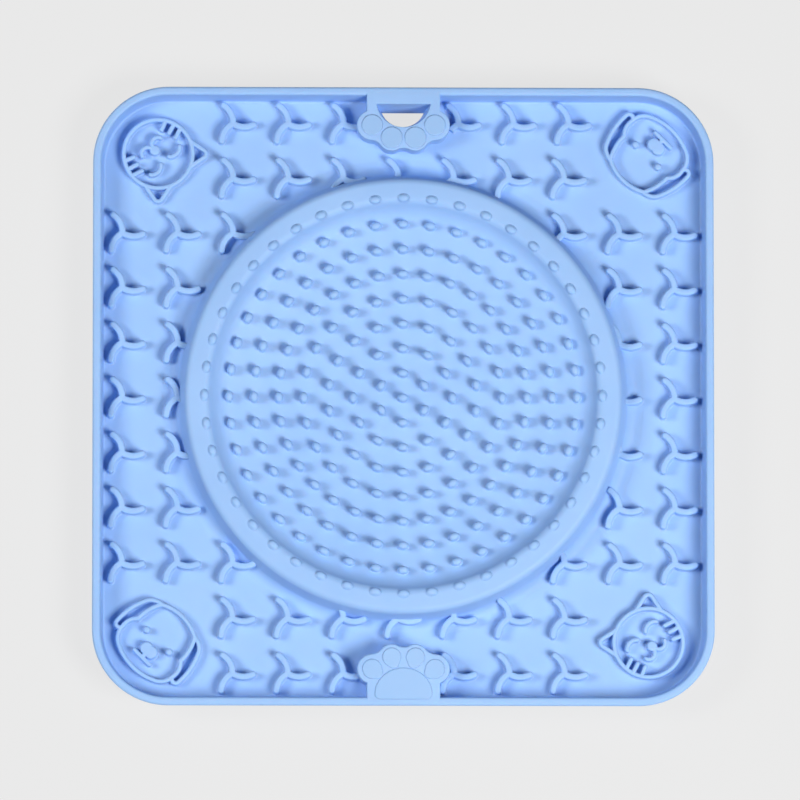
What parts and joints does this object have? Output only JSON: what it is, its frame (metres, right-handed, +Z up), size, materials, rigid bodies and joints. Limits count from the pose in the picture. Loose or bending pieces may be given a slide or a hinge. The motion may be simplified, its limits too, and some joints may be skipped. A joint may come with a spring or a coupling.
{
  "type": "pet lick mat",
  "caption": "Square silicone lick mat: a rimmed tray with a raised round dish of oval nubs, swirl ridges, animal-face reliefs, a hanging tab, a paw badge and suction cups underneath.",
  "frame": {"origin": "under the middle of the square mat, on the surface that its suction cups rest on", "axes": "+Z up out of the licking side, +Y towards the side with the hanging tab, +X to the right when the licking side is seen with the hanging tab at the top"},
  "size_m": [0.2, 0.2, 0.016],
  "materials": {
    "silicone": "satin"
  },
  "bodies": {
    "root": {"floor_sheet": "silicone", "border_rim": "silicone", "dish_floor": "silicone", "dish_scoop": "silicone", "dish_flank": "silicone", "nub_centre": "silicone", "nub_ring_1": "silicone", "nub_ring_2": "silicone", "nub_ring_3": "silicone", "nub_ring_4": "silicone", "nub_ring_5": "silicone", "nub_ring_6": "silicone", "nub_ring_7": "silicone", "nub_ring_8": "silicone", "ridges_north": "silicone", "ridges_south": "silicone", "ridges_west": "silicone", "ridges_east": "silicone", "cat_face_northwest": "silicone", "cat_face_southeast": "silicone", "dog_face_northeast": "silicone", "dog_face_southwest": "silicone", "hanging_tab": "silicone", "hanging_tab_toes": "silicone", "paw_badge": "silicone", "paw_toes": "silicone", "paw_pad": "silicone", "corner_suction_cups": "silicone", "side_suction_cups": "silicone", "middle_suction_cups": "silicone"}
  },
  "joints": []
}
